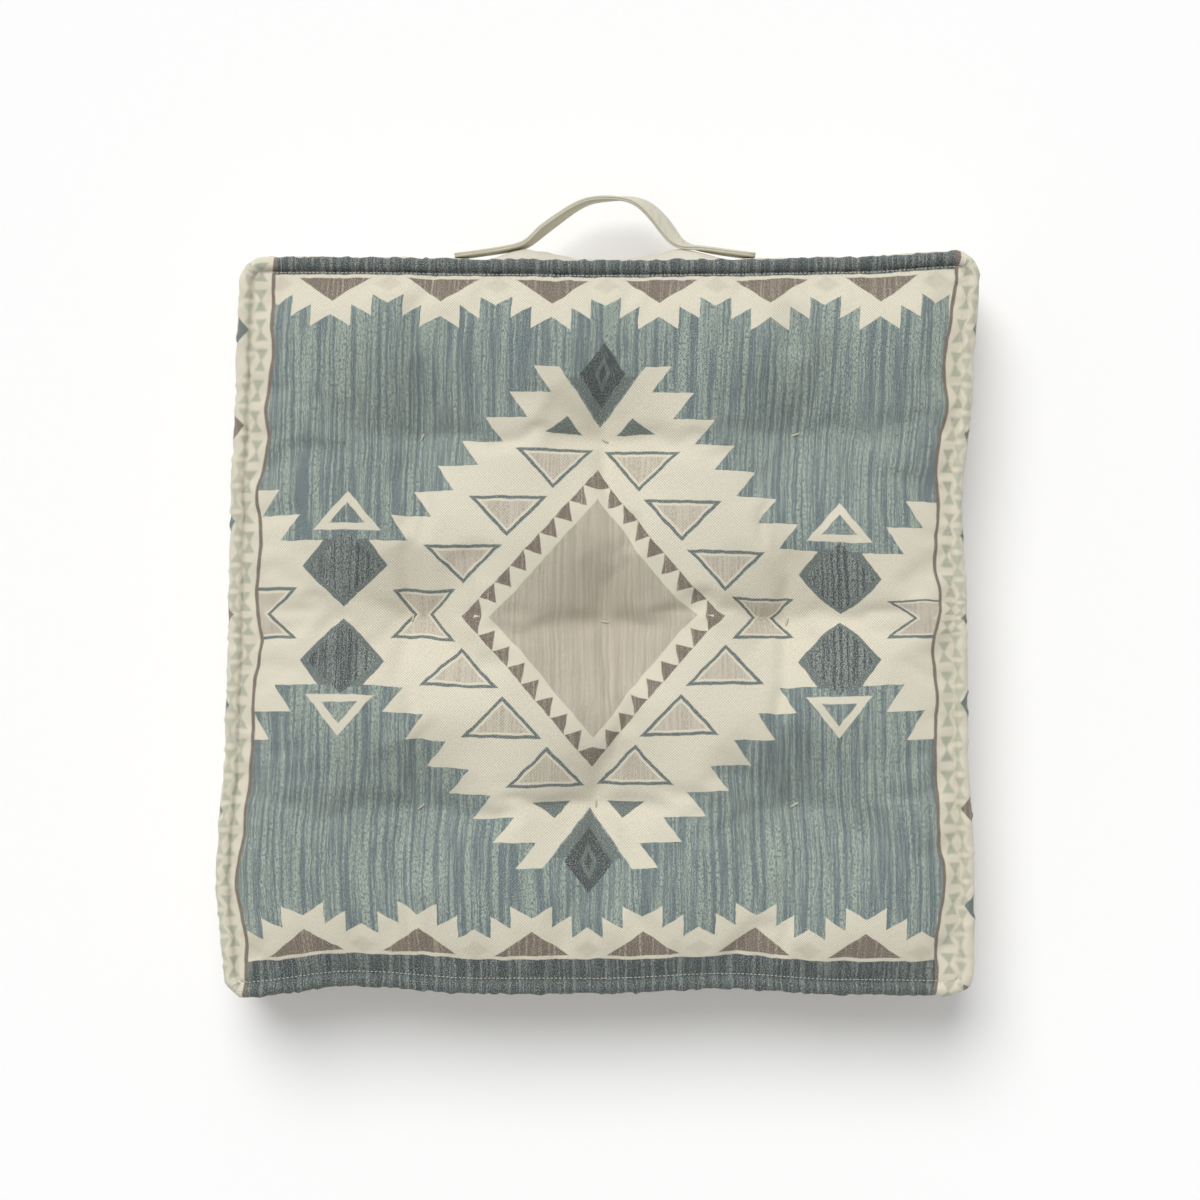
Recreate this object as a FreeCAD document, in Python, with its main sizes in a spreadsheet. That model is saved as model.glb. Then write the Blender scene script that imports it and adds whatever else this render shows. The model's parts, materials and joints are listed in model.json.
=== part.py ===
import FreeCAD, Part
import math
import os

import Sketcher
from FreeCAD import Vector

# A square floor cushion of canvas over fibre. The top and bottom panels end in a firm rolled edge,
# four wall strips join them, nine twine ties pull dimples through the pad, and a folded strap on the
# back wall is the carry handle. +Z is up and +Y runs to the handle. The origin is the middle of the
# base, on the floor.

doc = FreeCAD.newDocument("FloorCushion")

driving_sizes = {
    # the pad, measured over the fullest line of its walls
    "cushion_width": 600,
    "cushion_depth": 592,
    "cushion_height": 100,
    "wall_bulge": 8,
    "corner_radius": 28,
    "crown_rise": 12,
    "crown_inset": 70,
    "crown_corner": 60,
    "fabric_thickness": 1,
    # the rolled edge
    "roll_radius": 6,
    "roll_proud": 1,
    "edge_thread": 1.2,
    # the tufts
    "tuft_pitch_x": 150,
    "tuft_pitch_y": 148,
    "tuft_reach": 45,
    "tuft_depth": 18,
    "base_tuft_reach": 30,
    "base_tuft_depth": 8,
    "twine": 1.8,
    "tuft_stitch": 7,
    "needle_hole": 2.6,
    "tie_channel": 12,
    "knot": 4,
    # the carry handle
    "strap_width": 22,
    "strap_thickness": 3,
    "tab_length": 62,
    "loop_half_span": 60,
    "loop_top_half": 26,
    "loop_reach": 42,
    "loop_bend": 12,
    "handle_swing": 60,
    "tab_seam_inset": 4,
    "tab_thread": 1,
    "fit_gap": 0.3,
    "thread_gap": 0.1,
}

sheet = doc.addObject("Spreadsheet::Sheet", "Sizes")
for row, (alias, size) in enumerate(driving_sizes.items(), start=1):
    sheet.set(f"A{row}", alias)
    sheet.set(f"B{row}", str(size))
    sheet.setAlias(f"B{row}", alias)
doc.recompute()


def value_of(text):
    # what an expression comes to now; in the text, $ stands before the name of a cell
    return float(sheet.evalExpression(text.replace("$", "")))


def bind(item, prop, text):
    item.setExpression(prop, text.replace("$", "Sizes."))


def place(item, x="0", y="0", z="0"):
    for axis, text in zip("xyz", (x, y, z)):
        bind(item, "Placement.Base." + axis, text)


# Lines that several pieces share. The wall line is where a wall meets the rolled edges.
wall_x = "($cushion_width / 2 - $wall_bulge)"
wall_y = "($cushion_depth / 2 - $wall_bulge)"
top_line = "($cushion_height - $crown_rise)"
base_line = "$crown_rise"
back_face = "($cushion_depth / 2)"
mid_height = "($cushion_height / 2)"
row_names = ("front", "middle", "back")
column_names = ("left", "centre", "right")


# --- sketches -----------------------------------------------------------------------------------

def new_sketch(body, name, role, height="0"):
    # a sketch on one of its own body's origin planes, lifted by an expression
    sketch = body.newObject("Sketcher::SketchObject", name)
    plane = next(item for item in body.Origin.OriginFeatures if item.Role == role)
    sketch.AttachmentSupport = [(plane, "")]
    sketch.MapMode = "FlatFace"
    bind(sketch, "AttachmentOffset.Base.z", height)
    return sketch


def size_constraint(sketch, name, constraint, text):
    index = sketch.addConstraint(constraint)
    sketch.renameConstraint(index, name)
    bind(sketch, "Constraints." + name, text)


def rounded_rectangle(sketch, half_x, half_y, radius):
    # four lines and four arcs, run anticlockwise from the lower line, centred on the sketch origin
    x, y, r = value_of(half_x), value_of(half_y), value_of(radius)
    corners = [(x - r, -y + r), (x - r, y - r), (-x + r, y - r), (-x + r, -y + r)]
    ends = [
        (Vector(-x + r, -y, 0), Vector(x - r, -y, 0)),
        (Vector(x, -y + r, 0), Vector(x, y - r, 0)),
        (Vector(x - r, y, 0), Vector(-x + r, y, 0)),
        (Vector(-x, y - r, 0), Vector(-x, -y + r, 0)),
    ]
    for side, (start, end) in enumerate(ends):
        sketch.addGeometry(Part.LineSegment(start, end))
        circle = Part.Circle(Vector(*corners[side], 0), Vector(0, 0, 1), r)
        turn = math.pi / 2
        sketch.addGeometry(Part.ArcOfCircle(circle, (side - 1) * turn, side * turn))
    for item in range(8):
        sketch.addConstraint(Sketcher.Constraint("Tangent", item, 2, (item + 1) % 8, 1))
    for item in (0, 4):
        sketch.addConstraint(Sketcher.Constraint("Horizontal", item))
        sketch.addConstraint(Sketcher.Constraint("Vertical", item + 2))
    for item in (3, 5, 7):
        sketch.addConstraint(Sketcher.Constraint("Equal", 1, item))
    size_constraint(sketch, "corner", Sketcher.Constraint("Radius", 1, r), radius)
    size_constraint(sketch, "lower", Sketcher.Constraint("DistanceY", 0, 1, -1, 1, y), half_y)
    size_constraint(sketch, "right", Sketcher.Constraint("DistanceX", -1, 1, 2, 1, x), half_x)
    size_constraint(sketch, "upper", Sketcher.Constraint("DistanceY", -1, 1, 4, 1, y), half_y)
    size_constraint(sketch, "left", Sketcher.Constraint("DistanceX", 6, 1, -1, 1, x), half_x)


def polygon(sketch, points):
    # a closed outline of straight lines, with both coordinates of every corner bound to the sheet
    corners = [Vector(value_of(x), value_of(y), 0) for x, y in points]
    count = len(corners)
    first = sketch.GeometryCount
    for item in range(count):
        sketch.addGeometry(Part.LineSegment(corners[item], corners[(item + 1) % count]))
    for item in range(count):
        following = first + (item + 1) % count
        sketch.addConstraint(Sketcher.Constraint("Coincident", first + item, 2, following, 1))
    for item, pair in enumerate(points, start=first):
        for kind, text in zip(("DistanceX", "DistanceY"), pair):
            constraint = Sketcher.Constraint(kind, -1, 1, item, 1, value_of(text))
            size_constraint(sketch, f"{kind}_{item}", constraint, text)


# --- shared helpers for solids ------------------------------------------------------------------

def combine(kind, name, base, tool):
    item = doc.addObject("Part::" + kind, name)
    item.Base = base
    item.Tool = tool
    return item


def fuse_all(name, shapes):
    item = doc.addObject("Part::MultiFuse", name)
    item.Shapes = shapes
    return item


def box(name, length, width, height, x, y, z):
    item = doc.addObject("Part::Box", name)
    bind(item, "Length", length)
    bind(item, "Width", width)
    bind(item, "Height", height)
    place(item, x, y, z)
    return item


def ring(name, out, height, radius):
    # a round tube laid round the wall line, "out" outside it: four runs and four corner bends
    bend = f"($corner_radius + {out})"
    centre_x = f"({wall_x} - $corner_radius)"
    centre_y = f"({wall_y} - $corner_radius)"
    pieces = []
    for side, (sign_x, sign_y) in enumerate((("-", "-"), ("", "-"), ("", ""), ("-", ""))):
        # side 0 runs along the front from its left corner, and each next side a quarter turn on
        turned = FreeCAD.Rotation(Vector(0, 0, 1), 90 * side)
        run = doc.addObject("Part::Cylinder", f"{name}_run_{side}")
        run.Placement.Rotation = turned * FreeCAD.Rotation(Vector(0, 1, 0), 90)
        bind(run, "Radius", radius)
        if side % 2 == 0:
            bind(run, "Height", f"2 * {centre_x}")
            place(run, sign_x + centre_x, f"{sign_y}({centre_y} + {bend})", height)
        else:
            bind(run, "Height", f"2 * {centre_y}")
            place(run, f"{sign_x}({centre_x} + {bend})", sign_y + centre_y, height)
        corner = doc.addObject("Part::Torus", f"{name}_corner_{side}")
        corner.Placement.Rotation = FreeCAD.Rotation(Vector(0, 0, 1), 180) * turned
        bind(corner, "Radius1", bend)
        bind(corner, "Radius2", radius)
        corner.Angle3 = 90
        place(corner, sign_x + centre_x, sign_y + centre_y, height)
        pieces += [run, corner]
    return fuse_all(name, pieces)


def thread_loop(name, x, y, z, half_x, half_z, radius):
    # a closed loop of thread standing in the X-Z plane: four runs and four corner bends
    bend = f"(2 * {radius})"
    run_x = f"({half_x} - {bend})"
    run_z = f"({half_z} - {bend})"
    turn_up = FreeCAD.Rotation(Vector(1, 0, 0), 90)
    pieces = []
    for side, (sign_x, sign_z) in enumerate((("-", "-"), ("+", "-"), ("+", "+"), ("-", "+"))):
        run = doc.addObject("Part::Cylinder", f"{name}_run_{side}")
        bind(run, "Radius", radius)
        if side % 2 == 0:
            run.Placement.Rotation = FreeCAD.Rotation(Vector(0, 1, 0), 90)
            bind(run, "Height", f"2 * {run_x}")
            place(run, f"{x} - {run_x}", y, f"{z} {sign_z} {half_z}")
        else:
            bind(run, "Height", f"2 * {run_z}")
            place(run, f"{x} {sign_x} {half_x}", y, f"{z} - {run_z}")
        corner = doc.addObject("Part::Torus", f"{name}_corner_{side}")
        corner.Placement.Rotation = turn_up * FreeCAD.Rotation(Vector(0, 0, 1), 180 + 90 * side)
        bind(corner, "Radius1", bend)
        bind(corner, "Radius2", radius)
        corner.Angle3 = 90
        place(corner, f"{x} {sign_x} {run_x}", y, f"{z} {sign_z} {run_z}")
        pieces += [run, corner]
    return pieces


def dimples(name, grow):
    # the hollows that the ties pull in both faces, each a ball pressed into the pad
    balls = []
    for side, reach, depth in (("top", "$tuft_reach", "$tuft_depth"),
                               ("base", "$base_tuft_reach", "$base_tuft_depth")):
        ball_radius = f"(({reach}^2 + {depth}^2) / (2 * {depth}))"
        lift = f"$cushion_height - {depth} + {ball_radius}"
        if side == "base":
            lift = f"{depth} - {ball_radius}"
        for row in (-1, 0, 1):
            for column in (-1, 0, 1):
                ball = doc.addObject("Part::Sphere", f"{name}_{side}_{row + 1}{column + 1}")
                bind(ball, "Radius", f"{ball_radius} + {grow}")
                place(ball, f"{column} * $tuft_pitch_x", f"{row} * $tuft_pitch_y", lift)
                balls.append(ball)
    return fuse_all(name, balls)


def pad_form(name, inset):
    # the whole cushion shape, shrunk by "inset" on every side: two crowns and a bulging wall
    body = doc.addObject("PartDesign::Body", name + "_body")
    levels = [
        ("floor", f"-$crown_inset", "$crown_corner", inset),
        ("low", f"-{inset}", f"$corner_radius - {inset}", f"{base_line} + {inset}"),
        ("middle", f"$wall_bulge - {inset}", f"$corner_radius + $wall_bulge - {inset}", mid_height),
        ("high", f"-{inset}", f"$corner_radius - {inset}", f"{top_line} - {inset}"),
        ("crown", f"-$crown_inset", "$crown_corner", f"$cushion_height - {inset}"),
    ]
    sketches = {}
    for level, out, radius, height in levels:
        sketch = new_sketch(body, f"{name}_{level}", "XY_Plane", height)
        rounded_rectangle(sketch, f"{wall_x} + ({out})", f"{wall_y} + ({out})", radius)
        sketches[level] = sketch
    for first, through, ruled in (("low", ["middle", "high"], False),
                                  ("high", ["crown"], True),
                                  ("floor", ["low"], True)):
        loft = body.newObject("PartDesign::AdditiveLoft", f"{name}_{first}_loft")
        loft.Profile = sketches[first]
        loft.Sections = [sketches[level] for level in through]
        loft.Ruled = ruled
        doc.recompute()
    return combine("Cut", name, body, dimples(name + "_dimples", inset))


# --- ties ---------------------------------------------------------------------------------------

def tuft_tie(name, x, y):
    # twine that passes down through the pad and back up, and is knotted in the lower dimple
    top_bar = "($cushion_height - $tuft_depth + $twine / 2 + $thread_gap)"
    base_bar = "($base_tuft_depth - $twine / 2 - $thread_gap)"
    pieces = thread_loop(name, x, y, f"({top_bar} + {base_bar}) / 2", "($tuft_stitch / 2)",
                         f"(({top_bar} - {base_bar}) / 2)", "($twine / 2)")
    knot = doc.addObject("Part::Sphere", name + "_knot")
    knot.Placement.Rotation = FreeCAD.Rotation(40, 30, 20)
    bind(knot, "Radius", "$knot / 2")
    place(knot, x, y, f"{base_bar} - $knot / 4")
    return fuse_all(name, pieces + [knot])


def upright_hole(name, x, y, radius):
    # a round hole through the whole pad
    hole = doc.addObject("Part::Cylinder", name)
    bind(hole, "Radius", radius)
    bind(hole, "Height", "2 * $cushion_height")
    place(hole, x, y, "-$cushion_height / 2")
    return hole


ties, needle_holes, channels = [], [], []
for row, row_name in enumerate(row_names):
    for column, column_name in enumerate(column_names):
        spot = f"{row_name}_{column_name}"
        tuft_x = f"{column - 1} * $tuft_pitch_x"
        tuft_y = f"{row - 1} * $tuft_pitch_y"
        ties.append(tuft_tie("tuft_tie_" + spot, tuft_x, tuft_y))
        channels.append(upright_hole("channel_" + spot, tuft_x, tuft_y, "$tie_channel / 2"))
        for side, sign in (("left", "-"), ("right", "+")):
            needle_holes.append(upright_hole(f"needle_hole_{spot}_{side}",
                                             f"{tuft_x} {sign} $tuft_stitch / 2", tuft_y,
                                             "$needle_hole / 2"))
all_needle_holes = fuse_all("all_needle_holes", needle_holes)
all_channels = fuse_all("all_channels", channels)


# --- rolled edges -------------------------------------------------------------------------------

roll_levels = {"top": top_line, "bottom": base_line}
slope = "($crown_rise / $crown_inset)"
thread_radius = "($edge_thread / 2)"
thread_out = f"(-($roll_radius - $roll_proud + {thread_radius} + $thread_gap))"
thread_lift = f"(-{thread_out} * {slope} + {thread_radius} + $thread_gap)"
wraps, strands, edge_threads = {}, {}, {}
for side, level in roll_levels.items():
    toward = "+" if side == "top" else "-"
    wraps[side] = ring(side + "_roll_wrap", "$roll_proud", level, "$roll_radius")
    strands[side] = ring(
        side + "_roll_strand", "$roll_proud", level, "$roll_radius - $fabric_thickness"
    )
    edge_threads[side] = ring(
        side + "_edge_stitching", thread_out, f"{level} {toward} {thread_lift}", thread_radius
    )


# --- cover and filling --------------------------------------------------------------------------

outer_form = pad_form("outer_form", "0")
inner_form = pad_form("inner_form", "$fabric_thickness")
cover_skin = combine("Cut", "cover_skin", outer_form, inner_form)
both_wraps = fuse_all("both_wraps", [wraps["top"], wraps["bottom"]])

# The cover is divided inside the two rolled edges, whose strands take the place of that part.
top_split = f"({top_line} - $roll_radius / 2)"
base_split = f"({base_line} + $roll_radius / 2)"
skin_zone_top = box("skin_zone_top", "$cushion_width", "$cushion_depth", "$cushion_height",
                    "-$cushion_width / 2", "-$cushion_depth / 2", top_split)
skin_zone_bottom = box("skin_zone_bottom", "$cushion_width", "$cushion_depth", "$cushion_height",
                       "-$cushion_width / 2", "-$cushion_depth / 2",
                       f"{base_split} - $cushion_height")
panels = []
for side, zone in (("top", skin_zone_top), ("bottom", skin_zone_bottom)):
    crown = combine("Common", side + "_crown", cover_skin, zone)
    with_wrap = combine("Fuse", side + "_crown_and_wrap", crown, wraps[side])
    hollow = combine("Cut", side + "_hollow", with_wrap, strands[side])
    panels.append(combine("Cut", side + "_panel", hollow, all_needle_holes))

filling_core = combine("Cut", "filling_core", inner_form, both_wraps)
filling = combine("Cut", "fibre_filling", filling_core, all_channels)

# The wall strips meet at mitred seams on the four corners.
wall_zone = box("wall_zone", "2 * $cushion_width", "2 * $cushion_depth",
                f"{top_split} - {base_split}", "-$cushion_width", "-$cushion_depth", base_split)
wall_band = combine("Common", "wall_band", cover_skin, wall_zone)
wall_ring = combine("Cut", "wall_ring", wall_band, both_wraps)
mitre_x = "($cushion_width / 2 + $wall_bulge)"
mitre_y = "($cushion_depth / 2 + $wall_bulge)"
mitre_depth = "(2 * ($corner_radius + $wall_bulge))"
walls = []
for name, across, sign in (("front", "x", "-"), ("back", "x", ""), ("left", "y", "-"),
                           ("right", "y", "")):
    body = doc.addObject("PartDesign::Body", name + "_strip_zone")
    sketch = new_sketch(body, name + "_strip_outline", "XY_Plane")
    long_half, short_half = (mitre_x, mitre_y) if across == "x" else (mitre_y, mitre_x)
    corners = [(f"-{long_half}", f"{sign}{short_half}"),
               (long_half, f"{sign}{short_half}"),
               (f"{long_half} - {mitre_depth}", f"{sign}({short_half} - {mitre_depth})"),
               (f"-({long_half} - {mitre_depth})", f"{sign}({short_half} - {mitre_depth})")]
    if across == "y":
        corners = [(v, u) for u, v in corners]
    polygon(sketch, corners)
    pad = body.newObject("PartDesign::Pad", name + "_strip_pad")
    pad.Profile = sketch
    bind(pad, "Length", "$cushion_height")
    walls.append(combine("Common", name + "_wall", wall_ring, body))


# --- carry handle -------------------------------------------------------------------------------

tabs, tab_threads = [], []
strap_low = f"({mid_height} - $strap_width / 2)"
for side, sign in (("left", "-"), ("right", "")):
    # the seam is one closed line of thread that lies on the tab's outer face
    seam = fuse_all("tab_stitching_" + side, thread_loop(
        "tab_seam_" + side, f"{sign}($loop_half_span + $tab_length / 2)",
        f"{back_face} + $strap_thickness + $tab_thread / 2", mid_height,
        "($tab_length / 2 - $tab_seam_inset)",
        "($strap_width / 2 - $tab_seam_inset)", "($tab_thread / 2)"))
    start = "$loop_half_span" if side == "right" else "-($loop_half_span + $tab_length)"
    block = box(f"tab_block_{side}", "$tab_length", "$strap_thickness + $wall_bulge",
                "$strap_width", start, f"{back_face} - $wall_bulge", strap_low)
    tabs.append(combine("Cut", f"handle_tab_{side}", block, outer_form))
    tab_threads.append(seam)

# The loop stands off the wall as a flat-topped arch. It swings about the line where the strap
# leaves its tabs, so near that line it narrows enough to turn without touching the wall.
span = "($loop_half_span - $fit_gap)"
arm_run = f"({span} - $loop_top_half)"
arm_length = f"sqrt({arm_run}^2 + $loop_reach^2)"
arm_thickness = f"($strap_thickness * {arm_length} / $loop_reach)"
arm_lean = f"({arm_run} / $loop_reach)"
inner_reach = "($loop_reach - $strap_thickness)"
inner_top_half = f"({span} - {arm_thickness} - {inner_reach} * {arm_lean})"
loop_body = doc.addObject("PartDesign::Body", "handle_loop")
outer_sketch = new_sketch(loop_body, "loop_outline", "XY_Plane")
polygon(outer_sketch, [(f"-{span}", "0"), (span, "0"),
                       ("$loop_top_half", "$loop_reach"), ("-$loop_top_half", "$loop_reach")])
loop_pad = loop_body.newObject("PartDesign::Pad", "loop_pad")
loop_pad.Profile = outer_sketch
loop_pad.Midplane = True
bind(loop_pad, "Length", "$strap_width")
inner_sketch = new_sketch(loop_body, "loop_opening", "XY_Plane")
polygon(inner_sketch, [(f"-({span} - {arm_thickness})", "0"), (f"{span} - {arm_thickness}", "0"),
                       (inner_top_half, inner_reach), (f"-{inner_top_half}", inner_reach)])
doc.recompute()
full_volume = loop_pad.Shape.Volume
loop_pocket = loop_body.newObject("PartDesign::Pocket", "loop_pocket")
loop_pocket.Profile = inner_sketch
loop_pocket.Midplane = True
bind(loop_pocket, "Length", "2 * $strap_width")
doc.recompute()
hollow_volume = loop_pocket.Shape.Volume


def bend_edges(shape, x, y):
    # the names of the upright edges at plus and minus x
    names = []
    for index, edge in enumerate(shape.Edges, start=1):
        middle = edge.BoundBox.Center
        upright = edge.BoundBox.ZLength > 1 and edge.BoundBox.XLength < 0.01
        if upright and abs(abs(middle.x) - x) < 0.01 and abs(middle.y - y) < 0.01:
            names.append(f"Edge{index}")
    return names


outer_bends = loop_body.newObject("PartDesign::Fillet", "loop_outer_bends")
outer_bends.Base = (loop_pocket,
                    bend_edges(loop_pocket.Shape, value_of("$loop_top_half"),
                               value_of("$loop_reach")))
bind(outer_bends, "Radius", "$loop_bend + $strap_thickness")
doc.recompute()
inner_bends = loop_body.newObject("PartDesign::Fillet", "loop_inner_bends")
inner_bends.Base = (outer_bends,
                    bend_edges(outer_bends.Shape, value_of(inner_top_half),
                               value_of(inner_reach)))
bind(inner_bends, "Radius", "$loop_bend")
doc.recompute()
bent_volume = inner_bends.Shape.Volume

root_half = "(($strap_thickness / 2 - $fit_gap) / sin($handle_swing * 1 deg))"
taper_reach = f"(($strap_width / 2 - {root_half}) * tan($handle_swing * 1 deg))"
taper_sketch = new_sketch(loop_body, "loop_taper", "YZ_Plane")
for sign in ("", "-"):
    polygon(taper_sketch, [
        ("0", f"{sign}{root_half}"),
        ("0", f"{sign}$strap_width"),
        (f"{taper_reach} + ($strap_width / 2) * tan($handle_swing * 1 deg)", f"{sign}$strap_width"),
    ])
loop_taper = loop_body.newObject("PartDesign::Pocket", "loop_taper_pocket")
loop_taper.Profile = taper_sketch
loop_taper.Midplane = True
bind(loop_taper, "Length", "4 * $loop_half_span")
doc.recompute()
tapered_volume = loop_taper.Shape.Volume
place(loop_body, "0", f"{back_face} + $strap_thickness / 2", mid_height)
for before, after in ((full_volume, hollow_volume), (bent_volume, tapered_volume)):
    if not after < before:
        raise RuntimeError("a cut in the handle loop removed nothing")


# --- check and write ----------------------------------------------------------------------------

sub_parts = panels + walls + [filling, strands["top"], strands["bottom"]]
sub_parts += [edge_threads["top"], edge_threads["bottom"]] + ties
sub_parts += [loop_body] + tabs + tab_threads

doc.recompute()
for item in doc.Objects:
    if "Invalid" in item.State or "Error" in item.State:
        raise RuntimeError(f"{item.Name} did not recompute: {item.State}")
for item in sub_parts:
    item.Label = item.Name
    if item.Shape.isNull() or not item.Shape.isValid():
        raise RuntimeError(f"{item.Name} has no valid shape")

os.makedirs("parts", exist_ok=True)
for item in sub_parts:
    solids = item.Shape.Solids
    print(f"{item.Name}: {len(solids)} solid, {item.Shape.Volume / 1000:.2f} cm3")
    item.Shape.exportStep(f"parts/{item.Name}.step")
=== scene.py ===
import json
import math

import bmesh
import bpy
from mathutils import Matrix, Vector, noise
from mathutils.bvhtree import BVHTree


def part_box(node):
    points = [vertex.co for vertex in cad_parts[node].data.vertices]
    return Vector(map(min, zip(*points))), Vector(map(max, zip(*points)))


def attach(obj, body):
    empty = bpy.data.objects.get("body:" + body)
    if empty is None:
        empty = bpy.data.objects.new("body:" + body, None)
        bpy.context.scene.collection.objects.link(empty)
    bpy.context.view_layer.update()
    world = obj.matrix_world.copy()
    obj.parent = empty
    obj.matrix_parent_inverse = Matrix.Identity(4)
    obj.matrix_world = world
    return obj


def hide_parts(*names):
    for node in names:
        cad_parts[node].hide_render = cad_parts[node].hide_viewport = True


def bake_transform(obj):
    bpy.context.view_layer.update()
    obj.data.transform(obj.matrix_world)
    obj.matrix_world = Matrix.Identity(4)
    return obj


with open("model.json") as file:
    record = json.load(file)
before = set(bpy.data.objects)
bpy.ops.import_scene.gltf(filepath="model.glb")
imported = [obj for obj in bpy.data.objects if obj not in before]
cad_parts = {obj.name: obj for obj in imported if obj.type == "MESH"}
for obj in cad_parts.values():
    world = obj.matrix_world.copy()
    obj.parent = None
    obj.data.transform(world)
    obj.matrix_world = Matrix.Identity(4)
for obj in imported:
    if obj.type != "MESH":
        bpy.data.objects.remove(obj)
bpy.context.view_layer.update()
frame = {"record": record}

mm = 0.001
scene = bpy.context.scene


def hexColour(text):
    # an sRGB hex value as the linear colour that shaders take
    channels = [int(text[i:i + 2], 16) / 255 for i in (1, 3, 5)]
    linear = [c / 12.92 if c <= 0.04045 else ((c + 0.055) / 1.055) ** 2.4 for c in channels]
    return (*linear, 1.0)


def addNode(tree, kind, *inputs, output=0, named=None, **settings):
    # a kind such as "Math ADD" gives the operation too; inputs come in order or by name
    kind, *operation = kind.split()
    node = tree.nodes.new("ShaderNode" + kind)
    if operation:
        node.operation = operation[0]
    for name, value in settings.items():
        setattr(node, name, value)
    for key, value in [*enumerate(inputs), *(named or {}).items()]:
        if isinstance(value, bpy.types.NodeSocket):
            tree.links.new(value, node.inputs[key])
        elif value is not None:
            node.inputs[key].default_value = value
    return node.outputs[output] if node.outputs else None


def newMaterial(name):
    material = bpy.data.materials.new(name)
    material.use_nodes = True
    material.node_tree.nodes.clear()
    return material, material.node_tree


def newObject(name, bm, material):
    mesh = bpy.data.meshes.new(name)
    bm.to_mesh(mesh)
    bm.free()
    mesh.materials.clear()
    mesh.materials.append(material)
    mesh.polygons.foreach_set("use_smooth", [True] * len(mesh.polygons))
    piece = bpy.data.objects.new(name, mesh)
    scene.collection.objects.link(piece)
    return piece


def smoothStep(low, high, value):
    t = min(1, max(0, (value - low) / (high - low)))
    return t * t * (3 - 2 * t)


def along(values, t):
    # a smooth run through evenly spaced values, for t from 0 to 1
    place = min(max(t, 0), 1) * (len(values) - 1)
    first = min(int(place), len(values) - 2)
    return values[first] + (values[first + 1] - values[first]) * smoothStep(0, 1, place - first)


def onCushion(piece, *nodes):
    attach(piece, "cushion")
    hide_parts(*nodes)
    return piece


# Printed canvas: matt cotton with a pigment print, so the weave shows through the colours.
# All sizes of the print are in mm on the flat cloth.
kilim = {
    "centre": (-5.8, 7.4),
    "skew": 0.02,            # the print runs a little off the straight grain
    "sag": 0.045,            # the print drifts down at the back right
    "lift": 0.025,           # and up towards the sides of the front half
    "toothRise": 20,
    "toothStep": 18.3,
    "toothSlant": 15.2,
    "toothBase": 60.4,       # where the steps of the medallion begin
    "toothReach": 184.3,
    "medallionTop": 200.4,
    "sideLine": 271.6,
    "sideShift": 5.2,
    "sideLineWidth": 3,
    "sideWave": 14,
    "sideWaveLength": 60,
    "borderStart": 272.8,
    "borderPitch": 88,
    "chainPitch": 17.2,
    "chainSize": (106, 118.4),
    "heartSize": (83.2, 95.2),
    "halfDiamondPitch": 76.4,
    "streakWidth": 3.4,
    "streakLength": 150,
    "weavePitch": 2.2,       # real threads are 0.6 mm apart, which is too fine to show
}
kilimColours = {
    "slate": "#64757A",
    "sage": "#A8B6A8",
    "cream": "#E0DAC6",
    "navy": "#3F4C50",
    "teal": "#66726F",
    "ash": "#8A9490",
    "beige": "#B3AA99",
    "rose": "#CEC5B4",
    "brown": "#796C61",
    "mint": "#A9AF9B",
}


def insideShape(tree, point, corners):
    # how many mm a point lies inside a convex shape given anticlockwise, less than 0 outside
    depth = None
    for (ax, ay), (bx, by) in zip(corners, corners[1:] + corners[:1]):
        length = math.hypot(bx - ax, by - ay)
        line = ((ay - by) / length, (bx - ax) / length, (by * ax - bx * ay) / length)
        inside = addNode(tree, "VectorMath DOT_PRODUCT", point, line, output=1)
        depth = addNode(tree, "Math MINIMUM", depth, inside) if depth else inside
    return depth


def printed(tree, under, over, depth, soft=0.7):
    # lays a colour where the depth is above 0, with the soft edge that ink has on canvas
    mask = addNode(tree, "Math MULTIPLY_ADD", depth, 1 / soft, 0.5, use_clamp=True)
    return addNode(tree, "MixRGB", mask, under, over)


def streaks(tree, point, share, width=1.0):
    # broken lines down the cloth, as from yarn dyed before it was woven
    size = (1 / (kilim["streakWidth"] * width), 1 / kilim["streakLength"], 0)
    stretched = addNode(tree, "VectorMath MULTIPLY", point, size)
    line = addNode(tree, "TexNoise", stretched, None, 1.0, 3.0, 0.75, noise_dimensions="2D")
    line = addNode(tree, "Math MULTIPLY_ADD", line, 6, 0.5 - 6 * (1 - share), use_clamp=True)
    grain = addNode(tree, "VectorMath MULTIPLY", point, (1 / 1.1, 1 / 2.4, 0))
    grain = addNode(tree, "TexNoise", grain, None, 1.0, 2.0, 0.7, noise_dimensions="2D")
    grain = addNode(tree, "Math MULTIPLY_ADD", grain, 5, -1.8, use_clamp=True)
    return addNode(tree, "Math MULTIPLY", line, grain)


def weave(tree, point, pitch):
    # plain weave: warp and weft take turns on top
    scale = math.pi / 10 / pitch
    warp = addNode(tree, "TexWave", point, scale, 0.5, 2.0, 0.6, output=1, bands_direction="X")
    weft = addNode(tree, "TexWave", point, scale, 0.5, 2.0, 0.6, output=1, bands_direction="Y")
    both = addNode(tree, "Math ADD", warp, weft)
    both = addNode(tree, "Math SUBTRACT", both, 1.0)
    return addNode(tree, "Math ABSOLUTE", both)


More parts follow.
